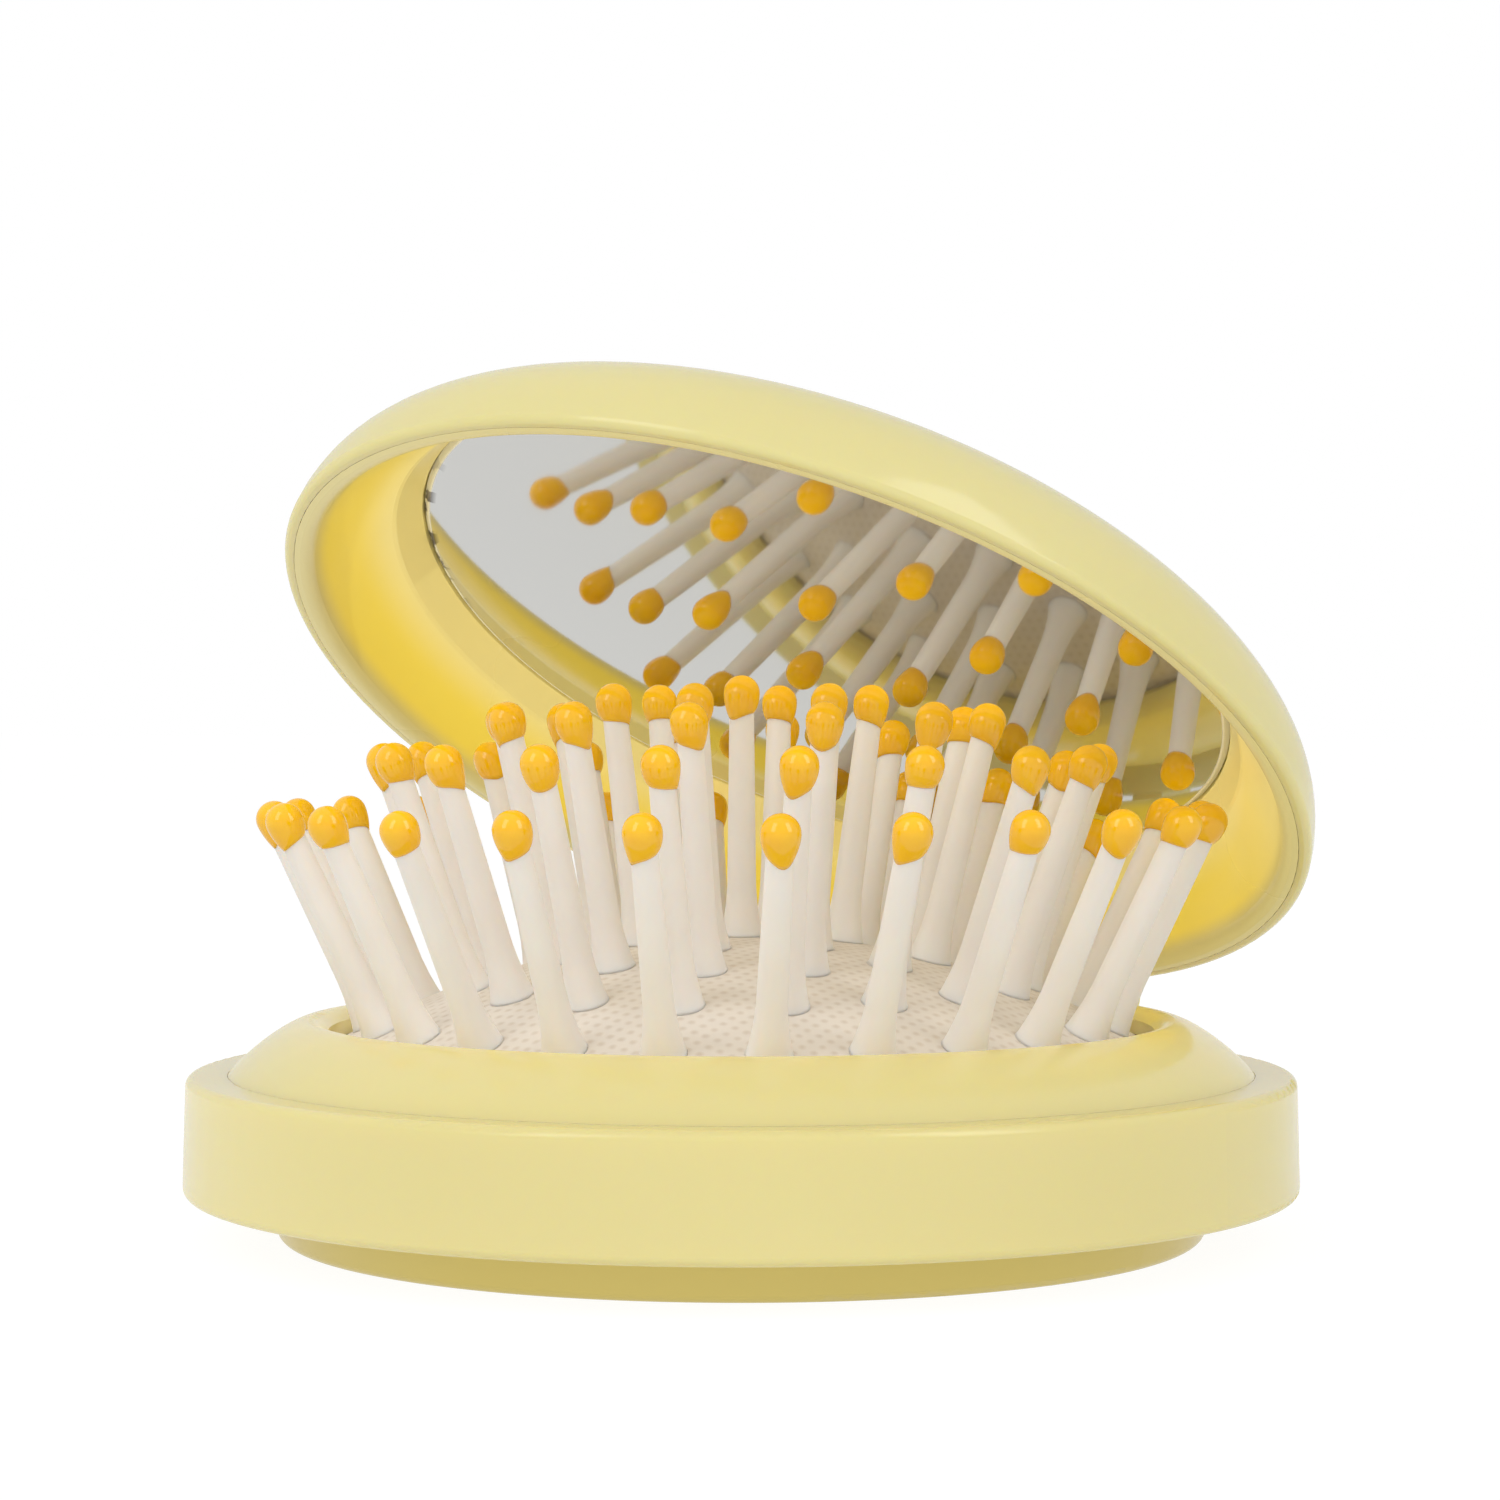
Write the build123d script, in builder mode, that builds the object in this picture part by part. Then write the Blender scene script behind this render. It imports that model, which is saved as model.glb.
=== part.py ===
from build123d import *
from math import asin, cos, radians, sin, sqrt
import os

# Folding hairbrush with mirror: a round compact with splayed pins on a cushion in its base and a mirror in its lid.
# The origin is the centre of the flat underside, +Z is up, and the lid hinges at the back, on +Y.
# Lengths are millimetres, angles are degrees. The model stands with its lid part open.

# ---- Base case
case_radius = 37.5
shelf_height = 11.0          # flat shelf that the lid closes on
shelf_width = 2.8
shelf_thickness = 1.4
band_height = 7.9
band_draft = 0.2
band_wall = 1.5
band_rounding = 0.6

# ---- Top frame, the low dome around the cushion
dome_rise = 3.6              # crest above the shelf
dome_width = 5.3             # from the dome's foot in to its crest
roll_width = 1.4             # from the crest in to the edge of the opening
opening_rise = 2.9           # rolled edge of the opening, above the shelf
opening_wall = 1.0           # upright side of the opening, down from that edge
foot_run = 0.7               # the dome leaves its foot towards a point this far in
foot_climb = 1.0             # and this far up
shoulder_run = 3.8           # its shoulder turns over this far in from the foot
dome_wall = 1.5
inner_corner_drop = 2.5      # corner of its underside, below the crest
inner_foot_rise = 0.1
frame_flange = 1.1

# ---- Bottom cup
cup_inset = 5.2              # from the case's side in to where the cup meets the underside of the band
cup_flare = 1.1              # how much narrower its floor is
cup_floor = 0.7
cup_wall = 1.2
cup_rounding = 0.8
step_width = 3.0

# ---- Cushion and its clamping ring
cushion_rise = 9.05          # crown above the shelf
cushion_shoulder = 0.12      # edge of the domed surface, below the shelf
cushion_gap = 2.2            # between the domed part and the frame around it
cushion_skin = 1.0
cushion_flange = 0.9
flange_overlap = 1.4         # how far the cushion's flange reaches under the top frame
ring_thickness = 1.3

# ---- Pins
foot_radius = 1.35
foot_height = 3.5            # the foot narrows to the stem over this length
stem_radius = 0.95
neck_radius = 0.85
tip_radius = 1.2
tip_drop = 1.6               # from the widest part of a tip down to its neck

# ---- Lid
lid_inset = 0.4              # lid's rim in from the case's side
lid_height = 12.56
crown_fullness = 0.724       # handle length of the crown's curve, as a share of its radius and height
lid_wall = 1.2
lip_width = 1.9              # flat rim that meets the shelf, shared by the cover and the liner
lip_height = 1.2
rim_wall = 0.8               # cover's share of that rim
rim_rounding = 0.45
lip_rounding = 1.0
mirror_inset = 7.6           # mirror's edge in from the lid's rim
mirror_setback = 4.66        # mirror's face below the crown
mirror_thickness = 0.6
mirror_bevel = 0.3
tape_thickness = 0.1
tape_margin = 1.0
seat_width = 5.8
liner_wall = 1.1
ridge_width = 1.3            # soft ridge of the liner round the mirror, out from the glass
ridge_drop = 2.1             # and below its face
ridge_rounding = 0.9
bowl_bulge = 0.5             # how far the liner's wall bulges outward from a straight slope
skirt_bulge = 1.35           # the same for the inside of the cover behind it

# ---- Hinge
hinge_offset = 5.4           # pin axis outside the case
hinge_rise = 2.66            # pin axis above the shelf
barrel_radius = 2.1
hinge_pin_radius = 0.75
pin_head_radius = 1.15
pin_head_height = 0.45
lid_lug_width = 4.2
base_lug_width = 2.6
standing_angle = 31.44       # how far the lid stands open

# ---- Clearances
fit = 0.1                    # between pieces of one body
close_fit = 0.03             # the same where the seam shows
running = 0.05               # round the hinge pin and under the pins' feet
side_play = 0.2              # between the hinge lugs
rim_gap = 0.3                # between closed lid and shelf
mirror_gap = 0.3             # between a pin's tip and the mirror

# ---- Rings of pins, from the outer one to the single pin in the centre
rings = ("outer", "second", "third", "inner", "centre")
pin_counts = {"outer": 24, "second": 18, "third": 12, "inner": 6, "centre": 1}
first_angles = {"outer": 10.8, "second": 15.4, "third": 26.1, "inner": 48.8, "centre": 0.0}
outer_ring_inset = 3.0       # feet of the outer ring, in from the edge of the opening
second_ring_pitch = 6.0      # each ring in from the one outside it
third_ring_pitch = 6.1
inner_ring_pitch = 5.9
outer_length = 15.3          # of a pin, from its foot up to the widest part of its tip
second_length = 16.1
third_length = 16.6
inner_length = 16.5
centre_length = 16.55
outer_sink = 13.0            # how far each ring sinks as the lid closes and the cushion gives way
second_sink = 15.0
third_sink = 17.5
inner_sink = 18.7
centre_sink = 19.3

# ---- Sizes that follow
band_bottom = shelf_height - band_height
shelf_underside = shelf_height - shelf_thickness
shelf_inner = case_radius - shelf_width
crest_radius = shelf_inner - dome_width
opening_radius = crest_radius - roll_width
band_inner = case_radius - band_wall
flange_underside = shelf_underside - frame_flange
cushion_underside = flange_underside - cushion_flange
step_height = cushion_underside - ring_thickness
frame_inner = shelf_inner - dome_wall
cushion_outer = frame_inner + flange_overlap
cushion_radius = frame_inner - cushion_gap
cushion_dome = cushion_rise + cushion_shoulder
cushion_sphere = (cushion_radius**2 + cushion_dome**2) / (2 * cushion_dome)
sphere_centre = shelf_height + cushion_rise - cushion_sphere
cup_radius = case_radius - cup_inset
floor_radius = cup_radius - cup_flare
lid_radius = case_radius - lid_inset
mirror_radius = lid_radius - mirror_inset
mirror_depth = lid_height - mirror_setback       # above the shelf when the lid is closed
outer_ring = opening_radius - outer_ring_inset
second_ring = outer_ring - second_ring_pitch
third_ring = second_ring - third_ring_pitch
inner_ring = third_ring - inner_ring_pitch
ring_radii = {"outer": outer_ring, "second": second_ring, "third": third_ring, "inner": inner_ring, "centre": 0.0}
pin_lengths = {
    "outer": outer_length, "second": second_length, "third": third_length, "inner": inner_length,
    "centre": centre_length}
sinks = {
    "outer": outer_sink, "second": second_sink, "third": third_sink, "inner": inner_sink, "centre": centre_sink}
hinge_y = case_radius + hinge_offset
hinge_z = shelf_height + hinge_rise


def opened(y, z, angle):
    """A point of the closed lid, as y and as z above the shelf, with the lid opened by angle."""
    along, up = y - hinge_y, z - hinge_rise
    turned_y = hinge_y + along * cos(radians(angle)) + up * sin(radians(angle))
    turned_z = hinge_z - along * sin(radians(angle)) + up * cos(radians(angle))
    return Vector(0, turned_y, turned_z)


def lid_up(angle):
    """Direction of the lid's own axis, from its rim to its crown."""
    return Vector(0, sin(radians(angle)), cos(radians(angle)))


lid_along = Vector(0, cos(radians(standing_angle)), -sin(radians(standing_angle)))
lid_section = Plane(origin=opened(0, 0, standing_angle), x_dir=lid_along, z_dir=(1, 0, 0))
lid_axis = Axis(lid_section.origin, lid_up(standing_angle))
hinge_plane = Plane(origin=(0, hinge_y, hinge_z), x_dir=(0, 1, 0), z_dir=(1, 0, 0))


# ================= Base =================

lug_start = side_play + lid_lug_width / 2
lug_root = case_radius - band_wall / 2
lug_corner = barrel_radius * sin(radians(45))

with BuildPart() as base_ring:
    with BuildSketch(Plane.XZ):
        with BuildLine():
            Polyline(
                (shelf_inner + close_fit, shelf_height), (case_radius, shelf_height),
                (case_radius + band_draft, band_bottom), (band_inner, band_bottom),
                (band_inner, shelf_underside), (shelf_inner + close_fit, shelf_underside), close=True)
        make_face()
    revolve(axis=Axis.Z)
    outer_edges = base_ring.edges().group_by(Axis.Z)[-1].sort_by(SortBy.RADIUS)[-1:]
    outer_edges += base_ring.edges().group_by(Axis.Z)[0].sort_by(SortBy.RADIUS)[-1:]
    fillet(outer_edges, radius=band_rounding)
    # Two lugs rise from the band at 45 degrees and carry the hinge pin
    with BuildSketch(Plane.YZ.offset(lug_start), Plane.YZ.offset(-lug_start - base_lug_width)):
        with Locations((hinge_y, hinge_z)):
            Circle(barrel_radius)
        with BuildLine():
            Polyline(
                (lug_root, hinge_z + lug_corner - (hinge_y - lug_corner - lug_root)),
                (hinge_y - lug_corner, hinge_z + lug_corner),
                (hinge_y + lug_corner, hinge_z - lug_corner),
                (lug_root, hinge_z - lug_corner - (hinge_y + lug_corner - lug_root)), close=True)
        make_face()
    extrude(amount=base_lug_width)
    with BuildSketch(hinge_plane):
        Circle(hinge_pin_radius + running)
    extrude(amount=lug_start + base_lug_width + fit, both=True, mode=Mode.SUBTRACT)
base_ring.part.label = "base_ring"

with BuildPart() as top_frame:
    crest = shelf_height + dome_rise
    edge_height = shelf_height + opening_rise
    with BuildSketch(Plane.XZ):
        with BuildLine():
            Bezier(
                (shelf_inner, shelf_height), (shelf_inner - foot_run, shelf_height + foot_climb),
                (shelf_inner - shoulder_run, crest), (crest_radius, crest))
            TangentArc((crest_radius, crest), (opening_radius, edge_height), tangent=(-1, 0))
            Polyline(
                (opening_radius, edge_height), (opening_radius, edge_height - opening_wall),
                (frame_inner - dome_wall, crest - inner_corner_drop),
                (frame_inner, shelf_height + inner_foot_rise), (frame_inner, flange_underside),
                (band_inner - fit, flange_underside), (band_inner - fit, shelf_underside),
                (shelf_inner, shelf_underside), (shelf_inner, shelf_height))
        make_face()
    revolve(axis=Axis.Z)
top_frame.part.label = "top_frame"

with BuildPart() as bottom_cup:
    spigot_outer = band_inner - fit
    spigot_inner = cushion_outer + 2 * fit
    step_inner = spigot_outer - step_width
    with BuildSketch(Plane.XZ):
        with BuildLine():
            Polyline(
                (0, 0), (floor_radius, 0), (cup_radius, band_bottom), (spigot_outer, band_bottom),
                (spigot_outer, flange_underside), (spigot_inner, flange_underside), (spigot_inner, step_height),
                (step_inner, step_height), (step_inner, band_bottom + cup_wall),
                (cup_radius - cup_wall, band_bottom + cup_wall), (floor_radius - cup_wall, cup_floor),
                (0, cup_floor), close=True)
        make_face()
    revolve(axis=Axis.Z)
    fillet(bottom_cup.edges().group_by(Axis.Z)[0].sort_by(SortBy.RADIUS)[-1], radius=cup_rounding)
bottom_cup.part.label = "bottom_cup"

with BuildPart() as cushion_ring:
    with BuildSketch(Plane.XY.offset(step_height)):
        Circle(cushion_outer + fit)
        Circle(cushion_radius - cushion_skin, mode=Mode.SUBTRACT)
    extrude(amount=ring_thickness)
cushion_ring.part.label = "cushion_ring"

with BuildPart() as cushion:
    inner_sphere = cushion_sphere - cushion_skin
    inner_radius = cushion_radius - cushion_skin
    crown = sphere_centre + cushion_sphere
    outer_shoulder = sphere_centre + sqrt(cushion_sphere**2 - cushion_radius**2)
    inner_shoulder = sphere_centre + sqrt(inner_sphere**2 - inner_radius**2)
    with BuildSketch(Plane.XZ):
        with BuildLine():
            TangentArc((0, crown), (cushion_radius, outer_shoulder), tangent=(1, 0))
            Polyline(
                (cushion_radius, outer_shoulder), (cushion_radius, flange_underside),
                (cushion_outer, flange_underside), (cushion_outer, cushion_underside),
                (inner_radius, cushion_underside), (inner_radius, inner_shoulder))
            TangentArc((0, crown - cushion_skin), (inner_radius, inner_shoulder), tangent=(1, 0))
            Line((0, crown - cushion_skin), (0, crown))
        make_face()
    revolve(axis=Axis.Z)
cushion.part.label = "cushion"


# ================= Pins =================

def longest_pin(root, outward, travel):
    """Length at which a pin's tip just clears the mirror, at rest and while the lid closes and the pins sink."""
    lengths = []
    closing_steps = 8
    for step in range(closing_steps + 1):
        share = step / closing_steps
        angle = standing_angle * (1 - share)
        sunk_root = root - Vector(0, 0, travel * share)
        room = (opened(0, mirror_depth, angle) - sunk_root).dot(lid_up(angle)) - tip_radius - mirror_gap
        lengths.append(room / outward.dot(lid_up(angle)))
    return min(lengths)


def pin_places(ring):
    """Foot plane and length of each pin in a ring. Pins stand square to the domed cushion."""
    count = pin_counts[ring]
    tilt = asin(ring_radii[ring] / cushion_sphere)
    places = []
    for index in range(count):
        turn = radians(first_angles[ring] + index * 360 / count)
        outward = Vector(sin(tilt) * cos(turn), sin(tilt) * sin(turn), cos(tilt))
        root = Vector(0, 0, sphere_centre) + outward * (cushion_sphere + running)
        section = Plane(origin=root, x_dir=(-sin(turn), cos(turn), 0),
                        z_dir=Vector(-sin(turn), cos(turn), 0).cross(outward))
        places.append((section, outward, min(pin_lengths[ring], longest_pin(root, outward, sinks[ring]))))
    return places


def stem(section, outward, length):
    """One pin without its tip: a flared foot and a slightly tapered shaft."""
    neck = length - tip_drop
    with BuildSketch(section) as profile:
        with BuildLine():
            Polyline((0, 0), (foot_radius, 0), (stem_radius, foot_height), (neck_radius, neck), (0, neck),
                     close=True)
        make_face()
    revolve(profile.sketch, axis=Axis(section.origin, outward))


def tip(section, outward, length):
    """One dipped tip, egg shaped, sitting on the end of its stem."""
    neck = length - tip_drop
    with BuildSketch(section) as profile:
        with BuildLine():
            Line((0, length + tip_radius), (0, neck))
            Line((0, neck), (neck_radius, neck))
            TangentArc((tip_radius, length), (neck_radius, neck), tangent=(0, -1))
            TangentArc((tip_radius, length), (0, length + tip_radius), tangent=(0, 1))
        make_face()
    revolve(profile.sketch, axis=Axis(section.origin, outward))


pin_parts = []
for ring in rings:
    with BuildPart() as stems:
        for section, outward, length in pin_places(ring):
            stem(section, outward, length)
    stems.part.label = "centre_pin" if ring == "centre" else f"{ring}_pins"
    with BuildPart() as tips:
        for section, outward, length in pin_places(ring):
            tip(section, outward, length)
    tips.part.label = "centre_tip" if ring == "centre" else f"{ring}_tips"
    pin_parts += [stems.part, tips.part]


# ================= Lid, drawn closed in its own section plane =================
# In lid_section, x runs from the lid's centre towards the hinge and y from the shelf up to the crown.

seat_depth = mirror_depth + mirror_thickness + tape_thickness
pocket_radius = mirror_radius + fit
skirt_inner = lid_radius - lid_wall
rim_inner = lid_radius - rim_wall
lip_top = rim_gap + lip_height
skirt_foot = Vector(skirt_inner, lip_top + fit)
pocket_corner = Vector(pocket_radius, seat_depth)


def bulged(low, high, amount):
    """Middle of the line from low to high in the lid's section, moved out from the hollow by amount."""
    slope = (high - low).normalized()
    return (low + high) / 2 + Vector(slope.Y, -slope.X) * amount


with BuildPart() as lid_cover:
    with BuildSketch(lid_section):
        with BuildLine():
            Bezier(
                (lid_radius, rim_gap), (lid_radius, rim_gap + crown_fullness * (lid_height - rim_gap)),
                (crown_fullness * lid_radius, lid_height), (0, lid_height))
            Line((0, lid_height), (0, lid_height - lid_wall))
            hollow = TangentArc(
                (0, lid_height - lid_wall), (pocket_radius - seat_width, seat_depth + lid_wall), tangent=(1, 0))
            Polyline(
                hollow @ 1, (pocket_radius - seat_width, seat_depth), (pocket_radius, seat_depth))
            ThreePointArc(pocket_corner, bulged(skirt_foot, pocket_corner, skirt_bulge), skirt_foot)
            Polyline(skirt_foot, (rim_inner, skirt_foot.Y), (rim_inner, rim_gap), (lid_radius, rim_gap))
        make_face()
    revolve(axis=lid_axis)
    rim_edges = lid_cover.edges().filter_by(GeomType.CIRCLE).group_by(lid_axis)[0]
    fillet(rim_edges.sort_by(SortBy.RADIUS)[-1], radius=rim_rounding)
    # One lug between the two of the base
    with BuildSketch(lid_section) as lid_lug:
        with Locations((hinge_y, hinge_rise)):
            Circle(barrel_radius)
        with Locations(((hinge_y + rim_inner) / 2, hinge_rise)):
            Rectangle(hinge_y - rim_inner, 2 * barrel_radius)
    extrude(amount=lid_lug_width / 2, both=True)
    with BuildSketch(hinge_plane):
        Circle(hinge_pin_radius + running)
    extrude(amount=lid_lug_width, both=True, mode=Mode.SUBTRACT)
lid_cover.part.label = "lid_cover"

with BuildPart() as lid_liner:
    lip_edge = Vector(lid_radius - lip_width, rim_gap)
    ridge = Vector(pocket_radius + ridge_width, mirror_depth - ridge_drop)
    mirror_edge = Vector(pocket_radius, mirror_depth)
    back_edge = pocket_corner - Vector(0, fit)
    back_foot = skirt_foot - Vector(fit, 0)
    wall_slope = (mirror_edge - ridge).normalized()
    ridge_back = ridge + Vector(wall_slope.Y, -wall_slope.X) * liner_wall
    with BuildSketch(lid_section):
        with BuildLine():
            ThreePointArc(lip_edge, bulged(lip_edge, ridge, bowl_bulge), ridge)
            Polyline(ridge, mirror_edge, back_edge)
            ThreePointArc(back_edge, ridge_back, back_foot)
            Polyline(
                back_foot, (back_foot.X, lip_top), (rim_inner - close_fit, lip_top),
                (rim_inner - close_fit, rim_gap), lip_edge)
        make_face()
    revolve(axis=lid_axis)
    ridge_edge = lid_liner.edges().filter_by(GeomType.CIRCLE).sort_by(lambda edge: abs(edge.radius - ridge.X))[0]
    fillet(ridge_edge, radius=ridge_rounding)
    lip_edges = lid_liner.edges().filter_by(GeomType.CIRCLE).group_by(lid_axis)[0]
    fillet(lip_edges.sort_by(SortBy.RADIUS)[0], radius=lip_rounding)
lid_liner.part.label = "lid_liner"

with BuildPart() as mirror_glass:
    with BuildSketch(lid_section):
        with BuildLine():
            Polyline(
                (0, mirror_depth), (mirror_radius - mirror_bevel, mirror_depth),
                (mirror_radius, mirror_depth + mirror_bevel), (mirror_radius, mirror_depth + mirror_thickness),
                (0, mirror_depth + mirror_thickness), close=True)
        make_face()
    revolve(axis=lid_axis)
mirror_glass.part.label = "mirror_glass"

with BuildPart() as mirror_tape:
    with BuildSketch(lid_section):
        with BuildLine():
            Polyline(
                (0, mirror_depth + mirror_thickness), (mirror_radius - tape_margin, mirror_depth + mirror_thickness),
                (mirror_radius - tape_margin, seat_depth), (0, seat_depth), close=True)
        make_face()
    revolve(axis=lid_axis)
mirror_tape.part.label = "mirror_tape"


# ================= Hinge pin, riveted over both base lugs =================

pin_end = lug_start + base_lug_width + running
with BuildPart() as hinge_pin:
    with BuildSketch(hinge_plane):
        Circle(hinge_pin_radius)
    extrude(amount=pin_end, both=True)
    with BuildSketch(hinge_plane.offset(pin_end), hinge_plane.offset(-pin_end - pin_head_height)):
        Circle(pin_head_radius)
    extrude(amount=pin_head_height)
hinge_pin.part.label = "hinge_pin"


# ================= Export =================

parts = [base_ring.part, top_frame.part, bottom_cup.part, cushion_ring.part, cushion.part]
parts += pin_parts
parts += [lid_cover.part, lid_liner.part, mirror_glass.part, mirror_tape.part, hinge_pin.part]

os.makedirs("parts", exist_ok=True)
for part in parts:
    export_step(part, f"parts/{part.label}.step")
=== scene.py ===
import bpy
import random
from math import asin, atan2, cos, exp, pi, radians, sin, sqrt
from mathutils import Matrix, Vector


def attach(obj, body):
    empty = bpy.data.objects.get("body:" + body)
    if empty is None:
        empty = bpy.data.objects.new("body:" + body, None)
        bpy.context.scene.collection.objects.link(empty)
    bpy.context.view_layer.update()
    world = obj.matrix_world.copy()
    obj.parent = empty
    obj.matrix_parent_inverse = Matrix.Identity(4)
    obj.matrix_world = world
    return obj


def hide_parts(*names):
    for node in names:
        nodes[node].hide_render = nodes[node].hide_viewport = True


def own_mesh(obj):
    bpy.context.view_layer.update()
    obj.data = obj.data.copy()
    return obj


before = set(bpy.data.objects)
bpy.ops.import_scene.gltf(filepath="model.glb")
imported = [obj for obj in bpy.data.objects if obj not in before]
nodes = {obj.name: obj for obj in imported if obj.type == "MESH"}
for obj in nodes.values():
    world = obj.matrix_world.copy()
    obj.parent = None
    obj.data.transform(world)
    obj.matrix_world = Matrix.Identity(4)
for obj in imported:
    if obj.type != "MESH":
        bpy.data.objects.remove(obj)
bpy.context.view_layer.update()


# ---------------------------------------------------------------------------------------------------------
# Base ring: the plain upright band with its flat shelf, injection moulded in glossy pastel yellow ABS.
# The bottom cup's spigot is pressed into it from below, and its two rear lugs carry the hinge pin.
# The moulded surface has a faint long ripple and a roughness that drifts, as polished moulds leave it.
white = (1, 1, 1, 1)
ripple_low = 0.3                # nearly all of a noise lies between these two
ripple_high = 0.7


def feed(tree, socket, value):
    """Link a node's output to a socket, or set the socket to a plain value."""
    if isinstance(value, bpy.types.NodeSocket):
        tree.links.new(value, socket)
    else:
        socket.default_value = value


def add_node(tree, kind, values, **settings):
    """A node with its settings, and with its inputs fed by their names or numbers."""
    node = tree.nodes.new(kind)
    for name, setting in settings.items():
        setattr(node, name, setting)
    for socket, value in values.items():
        feed(tree, node.inputs[socket], value)
    return node


def object_place(tree):
    return tree.nodes.new("ShaderNodeTexCoord").outputs["Object"]


def noise(tree, place, scale, detail=2.0):
    values = {"Vector": place, "Scale": scale, "Detail": detail}
    return add_node(tree, "ShaderNodeTexNoise", values).outputs["Fac"]


def math_node(tree, operation, *values):
    return add_node(tree, "ShaderNodeMath", dict(enumerate(values)), operation=operation).outputs[0]


def spread(tree, value, start, end, low=0.0, high=1.0, curve="LINEAR"):
    """Low where the value is at start, high where it is at end, and in between as the curve goes."""
    values = {"Value": value, "From Min": start, "From Max": end, "To Min": low, "To Max": high}
    return add_node(tree, "ShaderNodeMapRange", values, interpolation_type=curve).outputs[0]


def colour_mix(tree, share, first, second):
    return add_node(tree, "ShaderNodeMix", {0: share, 6: first, 7: second}, data_type="RGBA").outputs[2]


def bump(tree, height, depth, invert=False):
    return add_node(tree, "ShaderNodeBump", {"Height": height, "Distance": depth}, invert=invert).outputs[0]


moulded_skin = bpy.data.node_groups.new("moulded skin", "ShaderNodeTree")
for socket_name, kind, usual in (
        ("Ripple Size", "NodeSocketFloat", 0.02), ("Ripple Depth", "NodeSocketFloat", 0.00002),
        ("Light Colour", "NodeSocketColor", white), ("Deep Colour", "NodeSocketColor", white),
        ("Smoothest", "NodeSocketFloat", 0.2), ("Roughest", "NodeSocketFloat", 0.3)):
    skin_socket = moulded_skin.interface.new_socket(name=socket_name, in_out="INPUT", socket_type=kind)
    skin_socket.default_value = usual
for socket_name, kind in (
        ("Colour", "NodeSocketColor"), ("Roughness", "NodeSocketFloat"), ("Normal", "NodeSocketVector")):
    moulded_skin.interface.new_socket(name=socket_name, in_out="OUTPUT", socket_type=kind)
skin_in = moulded_skin.nodes.new("NodeGroupInput").outputs
skin_ripple = noise(
    moulded_skin, object_place(moulded_skin), math_node(moulded_skin, "DIVIDE", 1.0, skin_in["Ripple Size"]))
skin_drift = spread(moulded_skin, skin_ripple, ripple_low, ripple_high)
add_node(moulded_skin, "NodeGroupOutput", {
    "Colour": colour_mix(moulded_skin, skin_drift, skin_in["Light Colour"], skin_in["Deep Colour"]),
    "Roughness": spread(
        moulded_skin, skin_ripple, ripple_low, ripple_high, skin_in["Smoothest"], skin_in["Roughest"]),
    "Normal": bump(moulded_skin, skin_ripple, skin_in["Ripple Depth"])})


def new_material(name):
    """A new material, its node tree and its Principled shader."""
    material = bpy.data.materials.new(name)
    material.use_nodes = True
    return material, material.node_tree, material.node_tree.nodes["Principled BSDF"]


def set_shader(material, values):
    """Plain values on the sockets of the material's own shader."""
    shader = material.node_tree.nodes["Principled BSDF"]
    for socket, value in values.items():
        shader.inputs[socket].default_value = value


def moulded_plastic(name, light, deep, smoothest, roughest, ripple_size, ripple_depth):
    """A material with the moulded skin, whose colour and gloss drift between two ends."""
    material, tree, shader = new_material(name)
    skin = add_node(tree, "ShaderNodeGroup", {
        "Light Colour": (*light, 1), "Deep Colour": (*deep, 1), "Smoothest": smoothest, "Roughest": roughest,
        "Ripple Size": ripple_size, "Ripple Depth": ripple_depth}, node_tree=moulded_skin)
    for output, socket in (("Colour", "Base Color"), ("Roughness", "Roughness"), ("Normal", "Normal")):
        tree.links.new(skin.outputs[output], shader.inputs[socket])
    return material


def finish_node(name, material):
    for place in nodes[name].material_slots:
        place.material = material


yellow_abs = moulded_plastic(
    "glossy pastel yellow ABS", light=(0.86, 0.745, 0.335), deep=(0.84, 0.725, 0.315),
    smoothest=0.12, roughest=0.18, ripple_size=0.03, ripple_depth=0.00001)
set_shader(yellow_abs, {
    "IOR": 1.5, "Subsurface Weight": 0.3, "Subsurface Radius": (1.0, 0.7, 0.15), "Subsurface Scale": 0.003})
finish_node("base_ring", yellow_abs)


# ---------------------------------------------------------------------------------------------------------
# Top frame: the low dome round the cushion, moulded in the same yellow ABS as the base ring.
# It is snapped in under the shelf and holds the cushion's flange down.
finish_node("top_frame", yellow_abs)


# ---------------------------------------------------------------------------------------------------------
# Bottom cup: the shallow dish that closes the case from below, moulded in the same ABS and pressed in.
# Its yellow is painted a little deeper as painted shade, for the light caught between dish and table.
cup_abs_painted_shade = moulded_plastic(
    "yellow ABS with painted shade", light=(0.85, 0.715, 0.24), deep=(0.83, 0.695, 0.22),
    smoothest=0.12, roughest=0.18, ripple_size=0.03, ripple_depth=0.00001)
set_shader(cup_abs_painted_shade, {"IOR": 1.5})
finish_node("bottom_cup", cup_abs_painted_shade)


# ---------------------------------------------------------------------------------------------------------
# Cushion ring: a plain ring inside the case that clamps the cushion's flange, moulded in undyed ABS.
# Nobody sees it, so its mould was never polished and it comes out matt.
plain_abs = moulded_plastic(
    "plain moulded ABS", light=(0.66, 0.61, 0.38), deep=(0.62, 0.57, 0.35),
    smoothest=0.45, roughest=0.6, ripple_size=0.01, ripple_depth=0.00001)
finish_node("cushion_ring", plain_abs)


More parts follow.
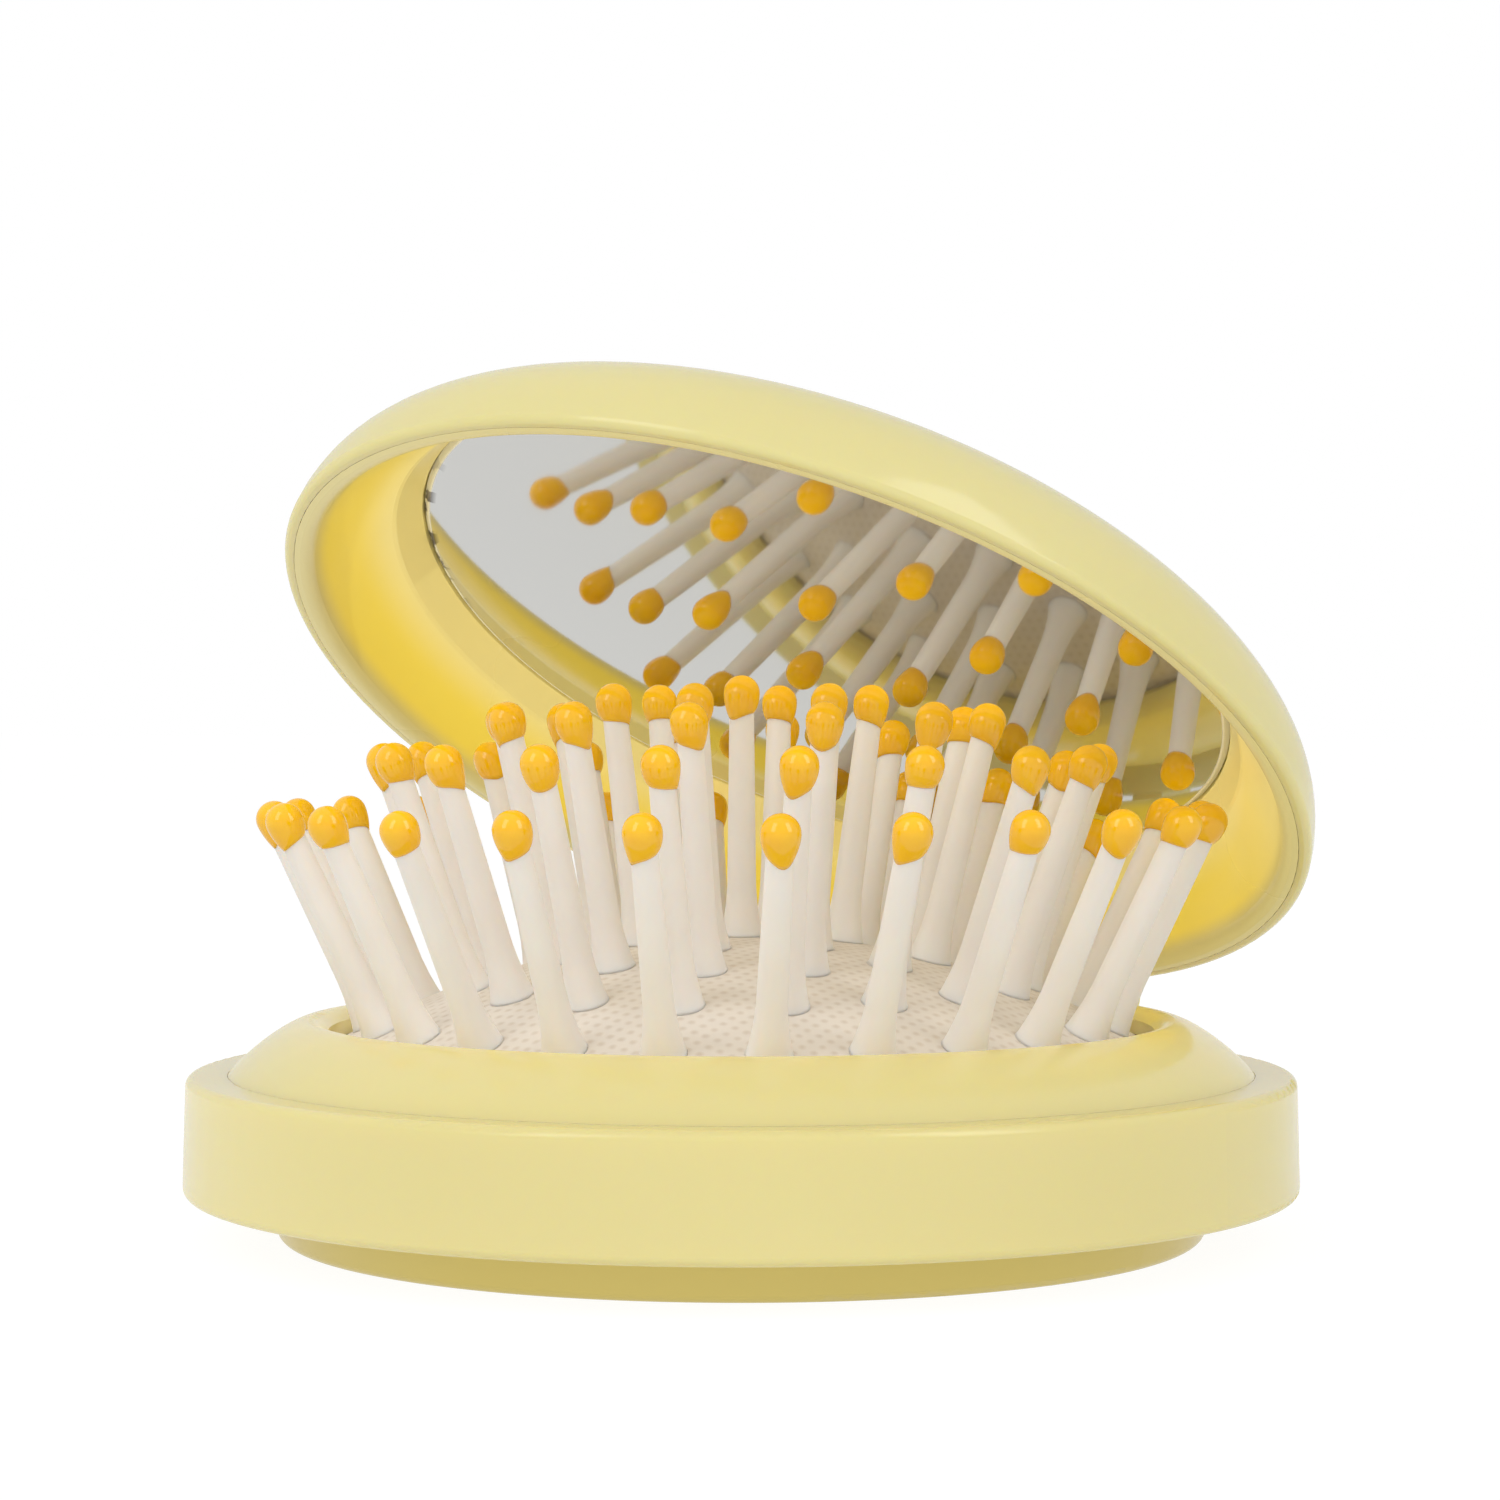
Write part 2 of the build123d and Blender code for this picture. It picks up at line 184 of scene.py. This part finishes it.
# ---------------------------------------------------------------------------------------------------------
# Cushion: a soft domed rubber pad faced with a fine net, which air behind it holds up.
# It is one turned skin with a rolled-down edge and a flat flange that is clamped under the top frame.
pad_crown = 0.02005             # height of the dome's top
pad_radius = 0.0310
pad_dome = 0.00917              # how far the dome rises over its edge
pad_flange = 0.0346
pad_flange_top = 0.0084
pad_flange_depth = 0.0007
pad_skin = 0.0010
pad_sphere = (pad_radius**2 + pad_dome**2) / (2 * pad_dome)
pad_centre = pad_crown - pad_sphere
net_pitch = 0.0009
net_depth = 0.00005
net_fuzz = 0.35                 # how much the threads' fuzz blurs the even pattern
net_fuzz_scale = 900.0
net_lightest = 0.35             # of pattern and fuzz together
net_darkest = 1.15
net_thread = (0.72, 0.655, 0.575, 1)
net_hole = (0.63, 0.55, 0.46, 1)
on_axis = 1e-7                  # a radius below this counts as a point on the axis


def turned(name, profile, segments, middle=Vector(), along=Vector((0, 0, 1))):
    """A mesh turned from (radius, height) points about an axis. Points on the axis close it."""
    side = along.orthogonal().normalized()
    other = along.cross(side)
    points, faces, rows = [], [], []
    for radius, height in profile:
        if radius < on_axis:
            rows.append([len(points)] * segments)
            points.append(middle + along * height)
        else:
            rows.append(list(range(len(points), len(points) + segments)))
            for step in range(segments):
                turn = 2 * pi * step / segments
                points.append(middle + along * height + (side * cos(turn) + other * sin(turn)) * radius)
    for low, high in zip(rows, rows[1:]):
        for step in range(segments):
            corners = [low[step], low[(step + 1) % segments], high[(step + 1) % segments], high[step]]
            corners = list(dict.fromkeys(corners))
            if len(corners) > 2:
                faces.append(corners)
    mesh = bpy.data.meshes.new(name)
    mesh.from_pydata(points, [], faces)
    mesh.update()
    return mesh


def smooth_object(name, mesh, material):
    piece = bpy.data.objects.new(name, mesh)
    bpy.context.scene.collection.objects.link(piece)
    mesh.materials.append(material)
    mesh.polygons.foreach_set("use_smooth", [True] * len(mesh.polygons))
    mesh.update()
    return piece


def dome_profile(sphere, reach, steps):
    """Section of a dome about the pad's centre, from its crown out to the reach."""
    radii = [reach * step / steps for step in range(steps + 1)]
    return [(radius, pad_centre + sqrt(sphere**2 - radius**2)) for radius in radii]


pad_outside = dome_profile(pad_sphere, pad_radius, steps=48)
pad_inside = dome_profile(pad_sphere - pad_skin, pad_radius - pad_skin, steps=24)
pad_shoulder = pad_outside[-1][1]
pad_flange_foot = pad_flange_top - pad_flange_depth
pad_edge = [
    (pad_radius, (pad_shoulder + pad_flange_top) / 2), (pad_radius, pad_flange_top),
    (pad_flange, pad_flange_top), (pad_flange, pad_flange_foot),
    (pad_radius - pad_skin, pad_flange_foot), (pad_radius - pad_skin, pad_shoulder - pad_skin)]
pad_profile = pad_outside + pad_edge + pad_inside[-2::-1]

rubber_net, net_tree, net_shader = new_material("net-faced rubber")
net_place = object_place(net_tree)
net_split = add_node(net_tree, "ShaderNodeSeparateXYZ", {0: net_place})
net_waves = []
for across in ("X", "Y"):
    net_turn = math_node(net_tree, "MULTIPLY", net_split.outputs[across], 2 * pi / net_pitch)
    net_wave = math_node(net_tree, "SINE", net_turn)
    net_waves.append(math_node(net_tree, "MULTIPLY_ADD", net_wave, 0.5, 0.5))       # from 0 to 1
net_holes = math_node(net_tree, "MULTIPLY", *net_waves)
net_blur = noise(net_tree, net_place, net_fuzz_scale)
net_uneven = math_node(net_tree, "MULTIPLY_ADD", net_blur, net_fuzz, net_holes)
net_deep = spread(net_tree, net_uneven, net_lightest, net_darkest)
feed(net_tree, net_shader.inputs["Base Color"], colour_mix(net_tree, net_deep, net_thread, net_hole))
feed(net_tree, net_shader.inputs["Normal"], bump(net_tree, net_uneven, net_depth, invert=True))
set_shader(rubber_net, {"Roughness": 0.75})

pad = smooth_object("cushion_pad", turned("cushion_pad", pad_profile, segments=128), rubber_net)
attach(pad, "base")
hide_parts("cushion")
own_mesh(pad)


# ---------------------------------------------------------------------------------------------------------
# Pins: moulded nylon, off-white and a little translucent, with a flared foot and a slight taper to the neck.
# They stand square to the cushion in four rings round one in the centre, and each ring moves by itself.
lid_hinge = Vector((0, 0.0429, 0.01366))
lid_stands = radians(31.44)     # how far the lid stands open
shelf = 0.011
mirror_face = 0.0079            # depth of the glass in the lid, from the lip's plane
mirror_gap = 0.0003             # clear space that a tip keeps to the glass
root_gap = 0.00005
tip_radius = 0.0012
tip_drop = 0.0016               # from a tip's widest part down to the neck
pin_rings = {                   # count, ring radius, first angle, longest pin, travel as the lid closes
    "outer": (24, 0.0250, 10.8, 0.0153, 0.0130),
    "second": (18, 0.0190, 15.4, 0.0161, 0.0150),
    "third": (12, 0.0129, 26.1, 0.0166, 0.0175),
    "inner": (6, 0.0070, 48.8, 0.0165, 0.0187),
    "centre": (1, 0.0, 0.0, 0.01655, 0.0193),
}
stem_radius = 0.00099
stem_start = 0.0034             # the flared foot ends here
stem_taper = 0.00014
neck_radius = 0.00084
neck_inside = 0.0006            # how far the neck reaches up inside the tip
least_bend, most_bend = 0.1, 1.0                 # degrees that use has bent a pin
foot_shape = [(0, -0.0001), (0.00154, -0.00006), (0.00146, 0.0001), (0.00136, 0.0005), (0.00121, 0.0013),
              (0.00107, 0.0023), (stem_radius, stem_start)]


def lid_up(angle):
    """Square to the lid's lip, away from the base, with the lid this far open."""
    return Vector((0, sin(angle), cos(angle)))


def lid_point(depth, angle):
    """The point on the lid's axis this deep inside its lip, with the lid this far open."""
    along, up = -lid_hinge.y, depth + shelf - lid_hinge.z
    return lid_hinge + Vector((0, along * cos(angle) + up * sin(angle), up * cos(angle) - along * sin(angle)))


def pin_places(ring):
    """Root, direction and length of each pin. Use has bent every pin a little, each its own way."""
    count, ring_radius, first_angle, longest, travel = pin_rings[ring]
    tilt = asin(ring_radius / pad_sphere)
    bent = random.Random(ring)
    lid_steps = 8
    for index in range(count):
        turn = radians(first_angle + index * 360 / count)
        outward = Vector((sin(tilt) * cos(turn), sin(tilt) * sin(turn), cos(tilt)))
        root = Vector((0, 0, pad_centre)) + outward * (pad_sphere + root_gap)
        rooms = []
        for step in range(lid_steps + 1):
            angle = lid_stands * (1 - step / lid_steps)
            sunk = root - Vector((0, 0, travel * step / lid_steps))
            room = (lid_point(mirror_face, angle) - sunk).dot(lid_up(angle)) - tip_radius - mirror_gap
            rooms.append(room / outward.dot(lid_up(angle)))
        way = bent.uniform(0, 2 * pi)
        bend = radians(bent.uniform(least_bend, most_bend))
        side = outward.orthogonal().normalized()
        leaning = outward + (side * cos(way) + outward.cross(side) * sin(way)) * bend
        yield root, leaning.normalized(), min(longest, min(rooms))


def join_meshes(name, meshes):
    points, faces = [], []
    for mesh in meshes:
        first = len(points)
        points += [vertex.co.copy() for vertex in mesh.vertices]
        faces += [[first + corner for corner in face.vertices] for face in mesh.polygons]
        bpy.data.meshes.remove(mesh)
    joined = bpy.data.meshes.new(name)
    joined.from_pydata(points, [], faces)
    return joined


nylon = moulded_plastic(
    "off-white nylon", light=(0.835, 0.805, 0.77), deep=(0.815, 0.78, 0.74),
    smoothest=0.38, roughest=0.48, ripple_size=0.004, ripple_depth=0.00001)
set_shader(nylon, {
    "Subsurface Weight": 0.6, "Subsurface Radius": (1.0, 0.8, 0.6), "Subsurface Scale": 0.0012})

for ring in pin_rings:
    made = []
    for root, outward, length in pin_places(ring):
        neck = length - tip_drop
        shape = foot_shape + [
            (stem_radius - stem_taper * share, stem_start + (neck - stem_start) * share)
            for share in (0.25, 0.5, 0.75, 1)]
        shape += [(neck_radius, neck + neck_inside), (0, neck + neck_inside)]
        made.append(turned("pin", shape, segments=24, middle=root, along=outward))
    pins = smooth_object(f"{ring}_pin_stems", join_meshes(f"{ring}_pin_stems", made), nylon)
    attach(pins, f"{ring}_row")
    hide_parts("centre_pin" if ring == "centre" else f"{ring}_pins")


# ---------------------------------------------------------------------------------------------------------
# Tips: each pin is dipped in thick glossy orange-yellow coating, which draws up into an egg-shaped bead.
# The lower edge of the coating is never quite level, and on some pins it ends in a short run.
bead_radius = 0.00124
bead_crown = 0.00122            # from the widest part up to the top
bead_drop = 0.0014              # and down to the coating's edge
bead_pull = 0.697               # how far the coating is drawn in at its edge
bead_mouth = 0.00080            # the coating's edge turns in to this radius
bead_mouth_share = 0.98         # at this share of the drop
bead_steps = 8
edge_slant = 0.00014
run_lengths = (0.0001, 0.0002, 0.0003, 0.00045)
run_narrowness = 3
dip_coating = moulded_plastic(
    "orange-yellow dip coating", light=(0.94, 0.53, 0.002), deep=(0.93, 0.48, 0.001),
    smoothest=0.05, roughest=0.09, ripple_size=0.002, ripple_depth=0.00002)
set_shader(dip_coating, {"Specular IOR Level": 0.7})
bead = random.Random(7)

for ring in pin_rings:
    made = []
    for root, outward, length in pin_places(ring):
        shape = []
        for step in range(bead_steps + 1):
            angle = pi / 2 * (1 - step / bead_steps)
            shape.append((bead_radius * cos(angle), length + bead_crown * sin(angle)))
        for step in range(1, bead_steps + 1):
            share = step / bead_steps
            shape.append((bead_radius * sqrt(1 - (bead_pull * share)**2), length - bead_drop * share))
        shape.append((bead_mouth, length - bead_drop * bead_mouth_share))
        mesh = turned("tip", shape, segments=28, middle=root, along=outward)
        lean = bead.uniform(0, 2 * pi)
        run = bead.choice(run_lengths)
        side = outward.orthogonal().normalized()
        other = outward.cross(side)
        for vertex in mesh.vertices:
            place = vertex.co - root - outward * length
            low = max(0.0, -place.dot(outward) / bead_drop)
            turn = atan2(place.dot(other), place.dot(side)) - lean
            drip = run * exp(-(1 - cos(turn)) * run_narrowness)
            vertex.co -= outward * low**2 * (edge_slant * cos(turn) + drip)
        made.append(mesh)
    tips = smooth_object(f"{ring}_pin_tips", join_meshes(f"{ring}_pin_tips", made), dip_coating)
    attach(tips, f"{ring}_row")
    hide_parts("centre_tip" if ring == "centre" else f"{ring}_tips")


# ---------------------------------------------------------------------------------------------------------
# Lid cover: the domed shell with its rolled lip, moulded in the same yellow ABS as the base ring.
# The lug at its back turns on the hinge pin, between the two of the base.
finish_node("lid_cover", yellow_abs)


# ---------------------------------------------------------------------------------------------------------
# Lid liner: the smooth wall between lip and mirror with a soft ridge round the glass, clipped into the cover.
# The same pastel plastic is painted a deeper yellow inside the bowl, as painted light for the light that
# bounces about there. It is painted paler on the open side as painted light, and on the ridge as a painted
# highlight. The narrow edge that shows in the lip is paler, and painted darker as painted shade, since the
# bowl lamp lights it too.
lip_starts, lip_ends = 0.0004, 0.0021            # heights over the lip's plane
ridge_starts, ridge_ends = 0.0036, 0.0062
open_starts, open_ends = 0.002, 0.024            # from the bowl's middle plane towards its open side
open_share, ridge_share = 0.95, 0.6
# Painted shade on the lip's edge, and painted light on the bowl's open side.
lip_painted_shade_colour = (0.52, 0.455, 0.20, 1)
open_side_painted_light_colour = (0.80, 0.73, 0.38, 1)
# Its deep yellow is painted bounce light inside the bowl.
liner_painted_bounce_abs = moulded_plastic(
    "glossy liner ABS with painted light", light=(0.84, 0.66, 0.085), deep=(0.82, 0.64, 0.075),
    smoothest=0.24, roughest=0.34, ripple_size=0.03, ripple_depth=0.00001)
set_shader(liner_painted_bounce_abs, {"IOR": 1.5})


def vector_node(tree, operation, first, second):
    return add_node(tree, "ShaderNodeVectorMath", {0: first, 1: second}, operation=operation).outputs["Value"]


liner_tree = liner_painted_bounce_abs.node_tree
liner_skin = next(node for node in liner_tree.nodes if node.type == "GROUP")
liner_place = object_place(liner_tree)
lip_middle = lid_point(0, lid_stands)
lid_axis = lid_up(lid_stands)
open_side = Vector((0.8, -0.6 * cos(lid_stands), 0.6 * sin(lid_stands)))
lip_height = lip_middle.dot(lid_axis)
middle_plane = lip_middle.dot(open_side)
liner_height = vector_node(liner_tree, "DOT_PRODUCT", liner_place, lid_axis)
liner_side = vector_node(liner_tree, "DOT_PRODUCT", liner_place, open_side)
# Painted light: deeper away from the lip, paler towards the ridge as a painted highlight and on the open
# side.
liner_painted_deeper = spread(
    liner_tree, liner_height, lip_height + lip_starts, lip_height + lip_ends, curve="SMOOTHSTEP")
ridge_painted_highlight = spread(
    liner_tree, liner_height, lip_height + ridge_starts, lip_height + ridge_ends, high=ridge_share,
    curve="SMOOTHSTEP")
open_side_painted_light = spread(
    liner_tree, liner_side, middle_plane + open_starts, middle_plane + open_ends, high=open_share)
liner_painted_paler = math_node(liner_tree, "MAXIMUM", open_side_painted_light, ridge_painted_highlight)
liner_painted_inner = colour_mix(liner_tree, liner_painted_paler, liner_skin.outputs["Colour"], open_side_painted_light_colour)
feed(liner_tree, liner_tree.nodes["Principled BSDF"].inputs["Base Color"],
     colour_mix(liner_tree, liner_painted_deeper, lip_painted_shade_colour, liner_painted_inner))
finish_node("lid_liner", liner_painted_bounce_abs)


# ---------------------------------------------------------------------------------------------------------
# Mirror: a round of thin silvered glass with a ground edge, taped to its seat inside the lid.
# The silvering is a little hazy, and along one stretch of the edge it is darkened in broken speckles.
haze_scale = 60.0
clearest, haziest = 0.03, 0.06                   # roughness of the silvering
ground_start, ground_end = 0.02900, 0.02910      # radii between which the silver gives way to the ground edge
ground_roughness = 0.35
silver_tint = (0.66, 0.66, 0.64, 1)
ground_colour = (0.60, 0.55, 0.36, 1)
dark_edge_colour = (0.06, 0.045, 0.03, 1)
speckle_scale = 520.0
speckle_detail = 3.0
speckle_starts, speckle_ends = 0.53, 0.57              # of the speckles' noise
dark_edge_start, dark_edge_end = 0.0286, 0.0291            # radii over which the speckles set in
patch_reach, patch_core = 0.012, 0.004           # distances from the patch's middle
patch_across, patch_along = -0.0250, -0.0152     # from the middle of the glass, in its plane
lid_middle = lid_point(mirror_face, lid_stands)
patch_middle = lid_middle + Vector(
    (patch_across, patch_along * cos(lid_stands), -patch_along * sin(lid_stands)))

silvered, silver_tree, silver_shader = new_material("silvered glass")
silver_place = object_place(silver_tree)
silver_radius = vector_node(silver_tree, "DISTANCE", silver_place, lid_middle)
silver_haze = spread(silver_tree, noise(silver_tree, silver_place, haze_scale), 0.0, 1.0, clearest, haziest)
silver_ground = spread(silver_tree, silver_radius, ground_start, ground_end)
silver_rim = colour_mix(silver_tree, silver_ground, silver_tint, ground_colour)
silver_edge = spread(silver_tree, silver_radius, dark_edge_start, dark_edge_end)
silver_speckle = spread(
    silver_tree, noise(silver_tree, silver_place, speckle_scale, speckle_detail), speckle_starts, speckle_ends)
silver_patch = spread(
    silver_tree, vector_node(silver_tree, "DISTANCE", silver_place, patch_middle), patch_reach, patch_core)
silver_dark_speckle = math_node(
    silver_tree, "MULTIPLY", silver_patch, math_node(silver_tree, "MULTIPLY", silver_edge, silver_speckle))
feed(silver_tree, silver_shader.inputs["Base Color"],
     colour_mix(silver_tree, silver_dark_speckle, silver_rim, dark_edge_colour))
feed(silver_tree, silver_shader.inputs["Metallic"], math_node(silver_tree, "SUBTRACT", 1.0, silver_ground))
feed(silver_tree, silver_shader.inputs["Roughness"],
     math_node(silver_tree, "MULTIPLY_ADD", silver_ground, ground_roughness, silver_haze))
finish_node("mirror_glass", silvered)


# ---------------------------------------------------------------------------------------------------------
# Mirror tape: a thin double-sided foam disc, cut from a roll.
# It holds the glass on the cover's seat and is hidden behind it.
foam = moulded_plastic(
    "white foam tape", light=(0.68, 0.67, 0.64), deep=(0.60, 0.59, 0.56),
    smoothest=0.8, roughest=0.9, ripple_size=0.002, ripple_depth=0.00003)
finish_node("mirror_tape", foam)


# ---------------------------------------------------------------------------------------------------------
# Hinge pin: a plain steel rivet through the three lugs at the back, drawn wire with upset ends.
# The lid turns on it, and the tight fit holds the lid where it is put.
rivet_steel = moulded_plastic(
    "plain steel", light=(0.62, 0.62, 0.61), deep=(0.52, 0.52, 0.51),
    smoothest=0.22, roughest=0.38, ripple_size=0.0015, ripple_depth=0.00001)
set_shader(rivet_steel, {"Metallic": 1.0})
finish_node("hinge_pin", rivet_steel)


# ---------------------------------------------------------------------------------------------------------
# Studio: a floor of pale paper that runs to the horizon, and a white surround.
# Both show white to the camera and throw a plainer light on the brush.
floor_reach = 6.0
paper_grey = (0.8, 0.8, 0.8, 1)
paper_glow = 1.12
paper_glow_share, paper_seen_share = 0.28, 0.54  # of the paper that glows, and more of it where it is seen
surround_light, surround_seen = 0.58, 0.42       # its strength, and how much stronger it is where it is seen
in_reflections = 0.45


def seen_directly(tree):
    """1 for what the camera sees, also through glass, less in reflections, and 0 for light on the object."""
    ray = tree.nodes.new("ShaderNodeLightPath").outputs
    seen = math_node(tree, "MULTIPLY_ADD", ray["Is Glossy Ray"], in_reflections, ray["Is Camera Ray"])
    return math_node(tree, "MINIMUM", math_node(tree, "ADD", seen, ray["Is Transmission Ray"]), 1.0)


paper = bpy.data.materials.new("studio paper")
paper.use_nodes = True
paper_tree = paper.node_tree
paper_tree.nodes.clear()
paper_matt = add_node(paper_tree, "ShaderNodeBsdfDiffuse", {"Color": paper_grey})
paper_white = add_node(paper_tree, "ShaderNodeEmission", {"Strength": paper_glow})
paper_share = math_node(
    paper_tree, "MULTIPLY_ADD", seen_directly(paper_tree), paper_seen_share, paper_glow_share)
paper_mix = add_node(paper_tree, "ShaderNodeMixShader", {
    0: paper_share, 1: paper_matt.outputs[0], 2: paper_white.outputs[0]})
add_node(paper_tree, "ShaderNodeOutputMaterial", {"Surface": paper_mix.outputs[0]})
floor_corners = [(x * floor_reach, y * floor_reach, 0) for x, y in ((-1, -1), (1, -1), (1, 1), (-1, 1))]
floor_mesh = bpy.data.meshes.new("studio_floor")
floor_mesh.from_pydata(floor_corners, [], [(0, 1, 2, 3)])
studio_floor = smooth_object("studio_floor", floor_mesh, paper)

surround = bpy.data.worlds.new("white surround")
bpy.context.scene.world = surround
surround.use_nodes = True
world_tree = surround.node_tree
world_light = world_tree.nodes["Background"]
world_light.inputs["Color"].default_value = white
feed(world_tree, world_light.inputs["Strength"],
     math_node(world_tree, "MULTIPLY_ADD", seen_directly(world_tree), surround_seen, surround_light))


# ---------------------------------------------------------------------------------------------------------
# Lamps: three softboxes and two strip lights, whose long soft streaks show in the glossy plastic.
# Four linked lamps stand for light that bounces about in the bowl and passes through pins, pad and frame.

def soft_lamp(name, place, aim, size, power, height=None, colour=(1, 1, 1), in_gloss=False):
    """A square lamp that faces its aim, oblong where it has a height. Gloss shows it only if in_gloss."""
    lamp = bpy.data.lights.new(name, "AREA")
    lamp.size = size
    lamp.shape = "SQUARE"
    if height:
        lamp.shape = "RECTANGLE"
        lamp.size_y = height
    lamp.energy = power
    lamp.color = colour
    holder = bpy.data.objects.new(name, lamp)
    bpy.context.scene.collection.objects.link(holder)
    holder.location = place
    holder.rotation_euler = (Vector(aim) - Vector(place)).to_track_quat("-Z", "Y").to_euler()
    holder.visible_glossy = in_gloss
    return holder


def only_for(lamp, lit, casting):
    """The lamp lights these objects alone, and only these others can shade them from it."""
    lamp.light_linking.receiver_collection = bpy.data.collections.new(f"lit by {lamp.name}")
    lamp.light_linking.blocker_collection = bpy.data.collections.new(f"shades {lamp.name}")
    for piece in lit:
        lamp.light_linking.receiver_collection.objects.link(piece)
    for piece in casting:
        lamp.light_linking.blocker_collection.objects.link(piece)


case_middle = (0, 0, 0.02)
pins_middle = (0, 0, 0.03)
liner, glass, dome_frame = nodes["lid_liner"], nodes["mirror_glass"], nodes["top_frame"]
pins_and_pad = [bpy.data.objects[f"{ring}_pin_{part}"] for ring in pin_rings for part in ("stems", "tips")]
pins_and_pad.append(pad)

soft_lamp("key softbox", (-0.15, -0.55, 0.55), case_middle, size=0.4, power=0.2)
for name, place, power in (
        ("right strip light", (0.49, -0.03, 0.36), 0.72), ("left strip light", (-0.07, -0.49, 0.36), 0.60)):
    soft_lamp(name, place, pins_middle, size=0.22, power=power, height=0.5, in_gloss=True)
soft_lamp("left softbox", (-0.5, -0.1, 0.3), case_middle, size=0.35, power=0.5)
soft_lamp("front fill", (0.22, -0.42, 0.05), pins_middle, size=0.3, power=0.25)

bowl_lamp = soft_lamp("bowl lamp", (0.05, -0.22, -0.10), (0, 0, 0.04), size=0.25, power=0.65)
only_for(bowl_lamp, [liner, glass], casting=[liner])
glow_lamp = soft_lamp("glow lamp", (0.05, -0.2, 0.45), case_middle, size=0.4, power=0.7)
only_for(glow_lamp, pins_and_pad, casting=[dome_frame])
under_lid_lamp = soft_lamp(
    "under lid glow lamp", lid_middle, lid_middle - lid_axis, size=0.05, power=0.0075,
    colour=(1.0, 0.96, 0.86))
only_for(under_lid_lamp, pins_and_pad + [dome_frame], casting=[dome_frame])
rear_lamp = soft_lamp(
    "rear glow lamp", (-0.12, 0.28, 0.14), (0, 0.01, 0.012), size=0.2, power=0.35,
    colour=(1.0, 0.82, 0.25))
only_for(rear_lamp, [dome_frame], casting=[dome_frame])


# ---------------------------------------------------------------------------------------------------------
# Camera: about level with the pins' tips, in front of the brush and off to its right.
# Its long lens keeps the band's sides upright, and the far pins nearly as large as the near ones.
camera = bpy.data.cameras.new("camera")
camera.sensor_width = 36.0
camera.lens = 85.64
camera.clip_start = 0.01
eye = bpy.data.objects.new("camera", camera)
bpy.context.scene.collection.objects.link(eye)
eye.location = (0.14606, -0.19466, 0.03471)
eye_down, eye_roll, eye_turn = 0.46, -0.04, 36.75
eye.rotation_euler = (radians(90 - eye_down), radians(eye_roll), radians(eye_turn))
bpy.context.scene.camera = eye
bpy.context.scene.view_settings.view_transform = "Standard"
